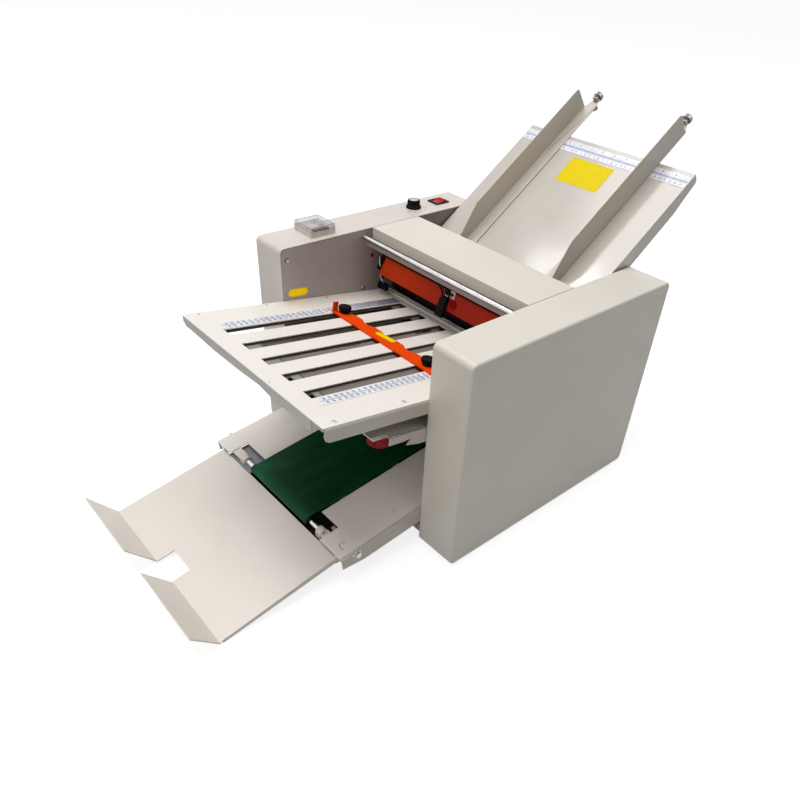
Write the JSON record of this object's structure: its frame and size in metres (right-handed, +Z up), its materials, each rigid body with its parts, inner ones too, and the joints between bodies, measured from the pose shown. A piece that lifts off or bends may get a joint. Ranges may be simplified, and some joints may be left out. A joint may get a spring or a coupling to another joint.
{
  "type": "paper folding machine",
  "caption": "Desk-top friction-feed folding machine with a sloping feed tray, slotted fold plates, stop bars, fold rollers and a belt delivery over an extension tray.",
  "frame": {"origin": "middle of the footprint, on the surface the machine stands on", "axes": "+Z up, +Y from the delivery end towards the feed tray, +X to the right as seen from the delivery end"},
  "size_m": [0.52, 1.0544, 0.5647],
  "materials": {
    "cover_paint": "satin beige powder coat",
    "frame_paint": "satin grey-beige",
    "sheet_steel": "dull rolled sheet",
    "bright_steel": "bright plated",
    "bush_bronze": "oiled sintered bronze",
    "roller_rubber": "ground, on a steel shaft",
    "foot_rubber": "moulded",
    "belt_green": "smooth dark green",
    "belt_black": "moulded",
    "bar_red": "satin orange-red",
    "black_plastic": "moulded",
    "key_grey": "moulded",
    "clear_cover": "clear moulded plastic",
    "switch_red": "translucent red",
    "scale_white": "printed white tape",
    "motor_grey": "black enamel",
    "board_green": "lacquered board"
  },
  "bodies": {
    "machine": {"base_plate": "frame_paint", "bearing_bushes": "bush_bronze", "bearing_clips": "cover_paint", "belt_bed": "sheet_steel", "control_board": "board_green", "counter_body": "black_plastic", "delivery_belt": "belt_green", "delivery_table_left": "cover_paint", "delivery_table_right": "cover_paint", "drive_belts": "belt_black", "feed_tray": "cover_paint", "fold_plate_1_bottom": "cover_paint", "fold_plate_1_top": "cover_paint", "fold_plate_2": "sheet_steel", "fold_plate_3": "sheet_steel", "fold_plate_4": "sheet_steel", "frame_pins": "bright_steel", "guard_brackets": "motor_grey", "motor": "motor_grey", "power_inlet": "black_plastic", "roller_guard": "bar_red", "rubber_feet": "foot_rubber", "rulers": "scale_white", "sensor_bracket": "sheet_steel", "sensor_cable": "belt_black", "separator_pad": "foot_rubber", "sheet_sensor": "black_plastic", "side_cover_left": "cover_paint", "side_cover_right": "cover_paint", "side_frame_left": "frame_paint", "side_frame_right": "frame_paint", "switch_bezel": "black_plastic", "tension_bolts": "bright_steel", "tie_rods": "bright_steel"},
    "hood": {"hood": "cover_paint"},
    "extension_tray": {"extension_tray": "cover_paint"},
    "feed_guide_left": {"feed_guide_left": "cover_paint"},
    "guide_thumbscrew_left": {"guide_thumbscrew_left": "bright_steel"},
    "feed_guide_right": {"feed_guide_right": "cover_paint"},
    "guide_thumbscrew_right": {"guide_thumbscrew_right": "bright_steel"},
    "stop_bar_1": {"stop_bar_1": "bar_red"},
    "stop_knob_left": {"stop_knob_left": "black_plastic"},
    "stop_knob_right": {"stop_knob_right": "black_plastic"},
    "stop_bar_2": {"stop_bar_2": "bar_red"},
    "stop_bar_3": {"stop_bar_3": "bar_red"},
    "stop_bar_4": {"stop_bar_4": "bar_red"},
    "fold_roller_1": {"fold_roller_1": "roller_rubber"},
    "fold_roller_2": {"fold_roller_2": "roller_rubber"},
    "fold_roller_3": {"fold_roller_3": "roller_rubber"},
    "fold_roller_4": {"fold_roller_4": "roller_rubber"},
    "fold_roller_5": {"fold_roller_5": "roller_rubber"},
    "fold_roller_6": {"fold_roller_6": "roller_rubber"},
    "feed_roller": {"feed_roller": "roller_rubber"},
    "belt_drive_roller": {"belt_drive_roller": "roller_rubber"},
    "belt_front_roller": {"belt_front_roller": "roller_rubber"},
    "motor_pulley": {"motor_pulley": "black_plastic"},
    "counter_cover": {"counter_cover": "clear_cover"},
    "counter_key": {"counter_key": "key_grey"},
    "speed_knob": {"speed_knob": "black_plastic"},
    "rocker_switch": {"rocker_switch": "switch_red"}
  },
  "joints": [
    {"name": "hood_hinge", "type": "hinge", "parent": "machine", "child": "hood", "pos_m": [0, 0.145, 0.352], "axis": [-1, 0, 0], "range_deg": [0, 70]},
    {"name": "extension_tray_hinge", "type": "hinge", "parent": "machine", "child": "extension_tray", "pos_m": [0, -0.287, 0.041], "axis": [-1, 0, 0], "range_deg": [0, 40]},
    {"name": "feed_guide_left_slide", "type": "slide", "parent": "machine", "child": "feed_guide_left", "axis": [1, 0, 0], "range_m": [-0.06, 0.032]},
    {"name": "guide_thumbscrew_left_turn", "type": "hinge", "parent": "feed_guide_left", "child": "guide_thumbscrew_left", "pos_m": [-0.096, 0.51219, 0.54709], "axis": [0, 0.8233, 0.5676], "range_deg": [-180, 180]},
    {"name": "feed_guide_right_slide", "type": "slide", "parent": "machine", "child": "feed_guide_right", "axis": [1, 0, 0], "range_m": [-0.032, 0.06]},
    {"name": "guide_thumbscrew_right_turn", "type": "hinge", "parent": "feed_guide_right", "child": "guide_thumbscrew_right", "pos_m": [0.096, 0.51219, 0.54709], "axis": [0, 0.8233, 0.5676], "range_deg": [-180, 180]},
    {"name": "stop_bar_1_slide", "type": "slide", "parent": "machine", "child": "stop_bar_1", "axis": [0, -0.9886, 0.1504], "range_m": [-0.125, 0.195]},
    {"name": "stop_knob_left_turn", "type": "hinge", "parent": "stop_bar_1", "child": "stop_knob_left", "pos_m": [-0.1045, -0.0741, 0.26212], "axis": [0, 0.1504, 0.9886], "range_deg": [-180, 180]},
    {"name": "stop_knob_right_turn", "type": "hinge", "parent": "stop_bar_1", "child": "stop_knob_right", "pos_m": [0.1045, -0.0741, 0.26212], "axis": [0, 0.1504, 0.9886], "range_deg": [-180, 180]},
    {"name": "stop_bar_2_slide", "type": "slide", "parent": "machine", "child": "stop_bar_2", "axis": [0, -0.9886, 0.1504], "range_m": [-0.243, 0.01]},
    {"name": "stop_bar_3_slide", "type": "slide", "parent": "machine", "child": "stop_bar_3", "axis": [0, 0.9781, 0.2079], "range_m": [-0.105, 0.13]},
    {"name": "stop_bar_4_slide", "type": "slide", "parent": "machine", "child": "stop_bar_4", "axis": [0, 0.9781, 0.2079], "range_m": [-0.105, 0.13]},
    {"name": "fold_roller_1_spin", "type": "hinge", "parent": "machine", "child": "fold_roller_1", "pos_m": [0, 0.106, 0.2475], "axis": [1, 0, 0], "continuous": true},
    {"name": "fold_roller_2_spin", "type": "hinge", "parent": "machine", "child": "fold_roller_2", "pos_m": [0, 0.106, 0.2225], "axis": [1, 0, 0], "continuous": true},
    {"name": "fold_roller_3_spin", "type": "hinge", "parent": "machine", "child": "fold_roller_3", "pos_m": [0, 0.106, 0.1975], "axis": [1, 0, 0], "continuous": true},
    {"name": "fold_roller_4_spin", "type": "hinge", "parent": "machine", "child": "fold_roller_4", "pos_m": [0, 0.106, 0.1725], "axis": [1, 0, 0], "continuous": true},
    {"name": "fold_roller_5_spin", "type": "hinge", "parent": "machine", "child": "fold_roller_5", "pos_m": [0, 0.106, 0.1475], "axis": [1, 0, 0], "continuous": true},
    {"name": "fold_roller_6_spin", "type": "hinge", "parent": "machine", "child": "fold_roller_6", "pos_m": [0, 0.106, 0.1225], "axis": [1, 0, 0], "continuous": true},
    {"name": "feed_roller_spin", "type": "hinge", "parent": "machine", "child": "feed_roller", "pos_m": [0, 0.1504, 0.3183], "axis": [1, 0, 0], "continuous": true},
    {"name": "belt_drive_roller_spin", "type": "hinge", "parent": "machine", "child": "belt_drive_roller", "pos_m": [0, 0.07, 0.09292], "axis": [1, 0, 0], "continuous": true},
    {"name": "belt_front_roller_spin", "type": "hinge", "parent": "machine", "child": "belt_front_roller", "pos_m": [0, -0.2792, 0.048], "axis": [1, 0, 0], "continuous": true},
    {"name": "motor_pulley_spin", "type": "hinge", "parent": "machine", "child": "motor_pulley", "pos_m": [0.2, 0.01, 0.14], "axis": [1, 0, 0], "continuous": true},
    {"name": "counter_cover_hinge", "type": "hinge", "parent": "machine", "child": "counter_cover", "pos_m": [-0.223, -0.0225, 0.3741], "axis": [-1, 0, 0], "range_deg": [0, 100]},
    {"name": "counter_key_press", "type": "slide", "parent": "machine", "child": "counter_key", "axis": [0, 0, -1], "range_m": [0, 0.0015], "stiffness_N_per_m": 400},
    {"name": "speed_knob_turn", "type": "hinge", "parent": "machine", "child": "speed_knob", "pos_m": [-0.223, 0.1765, 0.3656], "axis": [0, 0, 1], "range_deg": [-150, 150]},
    {"name": "rocker_switch_rock", "type": "hinge", "parent": "machine", "child": "rocker_switch", "pos_m": [-0.223, 0.24, 0.3635], "axis": [-1, 0, 0], "range_deg": [0, 18]}
  ],
  "couplings": [
    {"joint": "fold_roller_1_spin", "follows": "fold_roller_5_spin", "ratio": 1},
    {"joint": "fold_roller_2_spin", "follows": "fold_roller_5_spin", "ratio": -1},
    {"joint": "fold_roller_3_spin", "follows": "fold_roller_5_spin", "ratio": 1},
    {"joint": "fold_roller_4_spin", "follows": "fold_roller_5_spin", "ratio": -1},
    {"joint": "fold_roller_6_spin", "follows": "fold_roller_5_spin", "ratio": -1},
    {"joint": "feed_roller_spin", "follows": "fold_roller_5_spin", "ratio": 0.77778},
    {"joint": "belt_drive_roller_spin", "follows": "fold_roller_5_spin", "ratio": -0.85714},
    {"joint": "belt_front_roller_spin", "follows": "fold_roller_5_spin", "ratio": -0.85714},
    {"joint": "motor_pulley_spin", "follows": "fold_roller_5_spin", "ratio": 1.6}
  ]
}
